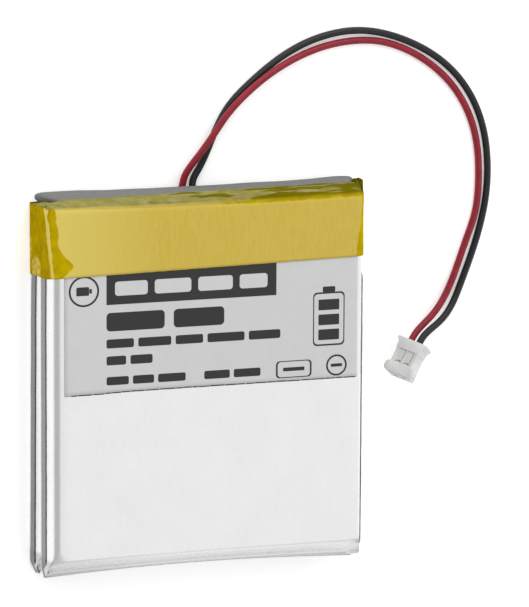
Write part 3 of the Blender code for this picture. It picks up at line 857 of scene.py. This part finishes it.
def strip_face(x, y, z):
    """The strip's outer side slopes to the front, under the tape. Its back edge is a little wavy."""
    low, high = corners("foam_strip")
    outer = foam_face(z) + 0.22 + 0.28 * (x / 25) ** 2 * smooth_step(z, 6.0, 2.0)
    outer += 0.12 * wobble(x * 0.16, 2.0) * smooth_step(z, 8.0, 2.0)
    outer += 0.15 * math.exp(-(((x + 19) / 5) ** 2)) + 0.25 * smooth_step(x, 19, 24)
    return mix(low.y, outer, (y - low.y) / (high.y - low.y))


def strip_ends(x, y, z, end):
    """The strip's ends stand proud of the band. The right one is lifted, the left one cut back."""
    clear = smooth_step(y, 29.6, 30.6)
    if end > 0:
        longer = mix(1.85, 0.85, smooth_step(z, 2.2, 4.0))
        lift = 0.5 * smooth_step(z, 7.0, 1.0)
        return x + longer * end * clear, y, z + lift * end
    cut_back = 0.5 * max(0.0, z - 2.5)
    return x + end * (0.75 * clear - cut_back), y, z


def filler_face(x, y, z):
    return y


def filler_ends(x, y, z, end):
    return x, y, z


def make_foams():
    grey = foam_look("grey_foam", (0.152, 0.154, 0.149))
    white = foam_look("white_foam", (0.72, 0.72, 0.70))
    foam_block("end_foam", "foam_strip", grey, strip_face, strip_ends)
    foam_block("terrace_foam", "terrace_filler", white, filler_face, filler_ends)


# ---------------------------------------------------------------- label


def rounded_box(left, low, right, high, radius, steps=4):
    return (
        arc((right - radius, low + radius), radius, -90, 0, steps)
        + arc((right - radius, high - radius), radius, 0, 90, steps)
        + arc((left + radius, high - radius), radius, 90, 180, steps)
        + arc((left + radius, low + radius), radius, 180, 270, steps)
    )


def bar(bm, left, low, right, high, level, radius=0.0):
    """A thin printed block, with rounded corners where it has a radius."""
    radius = min(radius, (right - left) / 2 - 0.001, (high - low) / 2 - 0.001)
    if radius > 0.02:
        outline = rounded_box(left, low, right, high, radius, steps=5)
    else:
        outline = [(left, low), (right, low), (right, high), (left, high)]
    raise_outline(bm, outline, level)


def raise_outline(bm, outline, level, height=INK_HEIGHT):
    """A closed flat block over an outline, from level up."""
    lower = [bm.verts.new(Vector((x, y, level)) * MM) for x, y in outline]
    upper = [bm.verts.new(Vector((x, y, level + height)) * MM) for x, y in outline]
    count = len(outline)
    for i in range(count):
        j = (i + 1) % count
        bm.faces.new((lower[i], lower[j], upper[j], upper[i]))
    bm.faces.new(upper)
    bm.faces.new(lower[::-1])


def ring(bm, outline, width, level):
    """A closed printed line of the given width along a convex outline."""
    count = len(outline)
    middle = Vector((sum(p[0] for p in outline) / count, sum(p[1] for p in outline) / count))
    for i in range(count):
        a, b = Vector(outline[i]), Vector(outline[(i + 1) % count])
        inner = [point + (middle - point).normalized() * width for point in (b, a)]
        raise_outline(bm, [tuple(a), tuple(b), tuple(inner[0]), tuple(inner[1])], level)


def greeked(bm, left, baseline, right, height, words, level, seed):
    """Rows of plain blocks that stand for words, with gaps between them."""
    shares = [1.0 + 0.6 * wobble(seed + i * 1.7, 3.3) for i in range(words)]
    gap = height * 0.5
    room = (right - left) - gap * (words - 1)
    x = left
    for share in shares:
        width = room * share / sum(shares)
        bar(bm, x, baseline, x + width, baseline + height, level, height * 0.22)
        x += width + gap


def label_edge(x):
    """How far the label's lower edge strays from a straight line. It drops towards the left."""
    return 0.05 * wobble(x * 0.4, 3.0) - 0.25 * smooth_step(x, -10, -24)


def print_marks(level):
    """Everything printed in dark ink: plain blocks, plain battery signs, and a broken dark line of painted
    shadow along the lower edge.
    """
    bm = bmesh.new()
    bar(bm, -16.8, 14.6, 11.4, 22.2, level)
    circle = arc((-20.5, 17.0), 2.5, 0, 360, 48)[:-1]
    ring(bm, circle, 0.32, level)
    bar(bm, -21.75, 16.3, -19.65, 17.7, level, 0.2)
    bar(bm, -19.6, 16.65, -19.2, 17.35, level)
    greeked(bm, -16.8, 10.3, 2.7, 3.0, 2, level, 1.0)
    greeked(bm, -16.8, 7.55, 12.1, 1.45, 5, level, 2.0)
    greeked(bm, -16.8, 4.8, -9.2, 1.45, 2, level, 3.0)
    greeked(bm, -16.8, 1.55, -3.7, 1.35, 3, level, 4.0)
    greeked(bm, -0.6, 1.55, 8.8, 1.35, 2, level, 5.0)
    ring(bm, rounded_box(17.6, 5.8, 22.9, 14.6, 0.7), 0.3, level)
    bar(bm, 19.2, 14.6, 21.3, 15.5, level, 0.2)
    for step in range(3):
        low = 6.75 + step * 2.45
        bar(bm, 18.5, low, 22.0, low + 1.75, level, 0.15)
    ring(bm, rounded_box(11.4, 0.9, 17.4, 3.7, 0.6), 0.3, level)
    bar(bm, 12.6, 2.0, 16.2, 2.6, level, 0.1)
    ring(bm, arc((21.6, 2.5), 1.75, 0, 360, 40)[:-1], 0.3, level)
    bar(bm, 20.65, 2.25, 22.55, 2.75, level, 0.1)
    # Painted shadow: broken dark dashes along the label's lower edge stand for its cut edge and the shadow
    # in the gap under it.
    x = -22.6
    while x < 24.6:
        length = 1.6 + 1.3 * wobble(x * 0.9, 5.5)
        low = 0.31 + label_edge(x)
        bar(bm, x, low, x + length, low + 0.17 + 0.05 * wobble(x, 1.0), level)
        x += length + 0.12 + 0.5 * abs(wobble(x * 1.1, 9.0)) ** 2
    return bm


def print_reversed(level):
    """The light blocks that stand on the dark header."""
    bm = bmesh.new()
    greeked(bm, -15.4, 16.0, 9.9, 2.3, 4, level + INK_HEIGHT, 6.0)
    return bm


def paper_look():
    """Coated label stock: pale grey with a fine tooth and a low sheen."""
    look = Look("label_stock", (0.51, 0.51, 0.512), 0.45, Coat_Weight=0.12, Coat_Roughness=0.35)
    fibre = look.noise(0.3, 4.0)
    look.shade(look.ramp(look.noise(2.2, 3.0), 0.3, 0.7), 0.02)
    look.polish(look.ramp(fibre, 0.3, 0.7, 0.4, 0.52))
    look.emboss(fibre, 0.0012)
    return look


def ink_look(name, colour):
    look = Look(name, colour, 0.4, Specular_IOR_Level=0.3)
    speck = look.noise(0.22, 4.0)
    look.shade(look.ramp(speck, 0.3, 0.7), 0.18)
    look.polish(look.ramp(speck, 0.3, 0.7, 0.34, 0.48))
    look.emboss(speck, 0.001)
    return look


def make_label():
    low, high = corners("front_label")
    columns, lines = 60, 28
    rows = []
    for j in range(lines + 1):
        y = mix(low.y, high.y, j / lines) - 0.1
        row = []
        for i in range(columns + 1):
            x = mix(low.x, high.x + LABEL_OVERHANG, i / columns)
            edge = label_edge(x) * max(0.0, 1 - j / 2)
            over = max(0.0, x - LABEL_BEND_START)
            drop = LABEL_BEND_RADIUS - math.sqrt(LABEL_BEND_RADIUS**2 - over**2)
            row.append((x, y + edge, high.z - 0.03 - drop))
        rows.append(row)
    sheet = add_piece("label_sheet", woven(rows), paper_look().material, ["front_label"])
    thicken(sheet, high.z - low.z, 0.0)
    for name, marks, look in (
        ("label_print", print_marks(high.z), ink_look("ink", (0.022, 0.02, 0.021))),
        ("label_reversed_print", print_reversed(high.z), paper_look()),
    ):
        add_piece(name, marks, look.material).data.shade_flat()


# ---------------------------------------------------------------- connector and inner parts


def dress(look, *names):
    for name in names:
        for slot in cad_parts[name].material_slots:
            slot.material = look.material


def layered_look():
    """The edge of a wound electrode stack: dark graphite, copper and aluminium in fine layers."""
    look = Look("electrode_layers", (0.10, 0.10, 0.11), 0.55, 0.3)
    height = look.add("SeparateXYZ", {"Vector": look.place()}).outputs["Z"]
    layer = look.math("FRACT", look.math("MULTIPLY", height, 1 / (0.22 * MM)))
    look.paint(look.blend(look.ramp(layer, 0.7, 0.8), (0.05, 0.05, 0.055), (0.42, 0.24, 0.15)))
    look.polish(look.ramp(look.noise(0.3, 3.0), 0.3, 0.7, 0.45, 0.65))
    look.emboss(layer, 0.01)
    return look


def board_look():
    """Green solder mask over copper tracks, which show as slightly paler, raised lines."""
    look = Look("solder_mask", (0.01, 0.13, 0.05), 0.35, Coat_Weight=0.4, Coat_Roughness=0.2)
    inputs = {"Vector": look.place(), "Scale": 900.0}
    tracks = look.add("TexVoronoi", inputs, distance="MANHATTAN", feature="F2").outputs["Distance"]
    line = look.ramp(tracks, 0.42, 0.5)
    look.paint(look.blend(line, (0.008, 0.10, 0.035), (0.03, 0.21, 0.08)))
    look.polish(look.ramp(look.noise(0.2, 3.0), 0.3, 0.7, 0.3, 0.45))
    look.emboss(line, 0.02)
    return look


def strand_look():
    """Tinned copper strands, twisted along the core."""
    look = Look("copper_strands", (0.72, 0.45, 0.30), 0.35, 1.0)
    inputs = {"Vector": look.place(), "Scale": 900.0, "Distortion": 1.0}
    strands = look.add("TexWave", inputs, bands_direction="DIAGONAL").outputs["Fac"]
    look.shade(strands, 0.2)
    look.emboss(strands, 0.02)
    return look


def nylon_look():
    """Moulded nylon: milky white with light scattered inside, a fine mould texture and faint flow marks."""
    look = Look("moulded_nylon", (0.58, 0.58, 0.575), 0.42, Subsurface_Weight=0.35)
    look.set("Subsurface Scale", 0.4 * MM)
    look.set("Subsurface Radius", (1.0, 0.9, 0.75))
    texture = look.noise(0.12, 4.0)
    look.shade(look.ramp(look.noise(1.8, 2.0), 0.3, 0.7), 0.02)
    look.polish(look.ramp(texture, 0.3, 0.7, 0.36, 0.5))
    look.emboss(texture, 0.002)
    return look


def brushed(name, colour, roughness):
    return grained(name, colour, roughness, 1.0, size=0.15, depth=0.002, spread=0.05, stretch=(1, 10, 1))


def extruded(outline, low, high):
    """A closed block over an outline in the connector's own X and Y, between two Z levels."""
    bm = bmesh.new()
    raise_outline(bm, outline, low, high - low)
    bmesh.ops.recalc_face_normals(bm, faces=bm.faces)
    mesh = bpy.data.meshes.new("shape")
    bm.to_mesh(mesh)
    bm.free()
    shape = bpy.data.objects.new("shape", mesh)
    bpy.context.scene.collection.objects.link(shape)
    return shape


def brick(left, right, near, far, low, high):
    return extruded([(left, near), (right, near), (right, far), (left, far)], low, high)


def shaped(base, tools):
    """The mesh of a block after the tools are joined to it or cut from it, in their order."""
    for tool, operation in tools:
        step = base.modifiers.new(operation, "BOOLEAN")
        step.operation = operation
        step.solver = "EXACT"
        step.object = tool
    bpy.context.view_layer.update()
    whole = base.evaluated_get(bpy.context.evaluated_depsgraph_get())
    bm = bmesh.new()
    bm.from_mesh(whole.to_mesh())
    for shape in [base] + [tool for tool, operation in tools]:
        bpy.data.objects.remove(shape)
    return bm


def make_housing():
    """The two-way crimp housing: flared wire end, waist with two lance windows, lugs at the mating end.

    In its own frame +Y points to the leads and +Z out of the face with the windows.
    """
    half = 3.05
    tools = []
    flare = [
        (2.62, half), (-2.55, half), (-2.55, 2.75), (-2.12, 2.1),
        (-2.05, 1.1), (2.05, 1.1), (2.12, 2.1), (2.62, 2.75),
    ]
    tools.append((extruded(flare, -1.74, 1.74), "UNION"))
    tools.append((brick(-2.04, 2.04, -half + 0.02, -1.4, -1.7, 1.7), "UNION"))
    for side in (-1, 1):
        lug = [(1.8, -1.25), (2.35, -1.38), (2.68, -1.7), (2.68, -2.5), (2.4, -2.92), (1.8, -half + 0.03)]
        tools.append((extruded([(side * x, y) for x, y in lug], 0.35, 1.72), "UNION"))
    for x in (-0.75, 0.75):
        arch = arc((x, -1.62), 0.8, 140, 46, 8) + arc((x, -1.62), 0.62, 46, 140, 8)
        tools += [
            (brick(x - 0.65, x + 0.65, -1.8, 4.0, -0.75, 0.75), "DIFFERENCE"),
            (brick(x - 0.4, x + 0.4, -4.0, -1.0, -0.4, 0.4), "DIFFERENCE"),
            (brick(x - 0.6, x + 0.6, -0.98, 1.2, 1.48, 2.5), "DIFFERENCE"),
            (brick(x + 0.44, x + 0.6, -0.98, 0.95, 0.7, 2.5), "DIFFERENCE"),
            (extruded(arch, 0.3, 2.5), "DIFFERENCE"),
        ]
    bm = shaped(brick(-1.97, 1.97, -half, half - 0.05, -1.66, 1.66), tools)
    turn = (
        Matrix.Rotation(CONNECTOR_HEADING, 4, "Z")
        @ Matrix.Rotation(CONNECTOR_PITCH, 4, "X")
        @ Matrix.Rotation(CONNECTOR_ROLL, 4, "Y")
    )
    housing = add_piece("crimp_housing", bm, nylon_look().material, ["connector_housing"])
    housing.data.transform(Matrix.Translation(CONNECTOR_CENTRE * MM) @ turn)
    round_edges(housing, 0.07, 2, 30)
    return housing


def of_both(part):
    """The names of a part that each cell has one of."""
    return ["rear_" + part, "front_" + part]


def dress_inside():
    """Materials for the CAD nodes that no visible piece replaces."""
    dress(layered_look(), *of_both("electrode_stack"))
    dress(brushed("tab_aluminium", (0.78, 0.79, 0.80), 0.32), *of_both("positive_tab"))
    nickel = brushed("nickel", (0.62, 0.60, 0.55), 0.3)
    dress(nickel, *of_both("negative_tab"), "positive_strap", "negative_strap")
    film = grained("tab_film", (0.80, 0.74, 0.55), 0.4, size=0.3, spread=0.05, Transmission_Weight=0.3)
    dress(film, *of_both("positive_tab_seal"), *of_both("negative_tab_seal"))
    dress(grained("bond_film", (0.82, 0.82, 0.78), 0.5, size=0.4, depth=0.01), "cell_bond_tape")
    dress(board_look(), "protection_board")
    paper = grained(
        "fish_paper", (0.50, 0.56, 0.46), 0.8, size=0.25, depth=0.008, spread=0.12, stretch=(4, 1, 1)
    )
    dress(paper, "board_paper")
    epoxy = grained("chip_epoxy", (0.022, 0.022, 0.024), 0.5, size=0.08, spread=0.15)
    dress(epoxy, "dual_mosfet", "protection_ic")
    dress(grained("resistor_glaze", (0.03, 0.03, 0.032), 0.35, size=0.1, spread=0.2), "sense_resistor")
    dress(grained("ceramic", (0.40, 0.29, 0.19), 0.45, size=0.1, spread=0.1), "filter_capacitor")
    solder = grained("solder", (0.70, 0.71, 0.72), 0.22, 1.0, size=0.3, depth=0.006)
    dress(solder, "solder_joint_red", "solder_joint_black")
    dress(strand_look(), "lead_red_core", "lead_black_core")
    dress(brushed("tinned_bronze", (0.70, 0.69, 0.66), 0.28), "crimp_contact_red", "crimp_contact_black")


aim_camera()
HOUSING = make_housing()
RED = lead_look("red_insulation", (0.23, 0.008, 0.02))
BLACK = lead_look("black_insulation", (0.011, 0.011, 0.0115))
make_lead("lead_red", RED_ROUTE, RED)
make_lead("lead_black", BLACK_ROUTE, BLACK)
make_floor()
light_studio()
make_cells()
make_tape()
make_foams()
make_label()
dress_inside()
bpy.context.scene.view_settings.view_transform = "Standard"
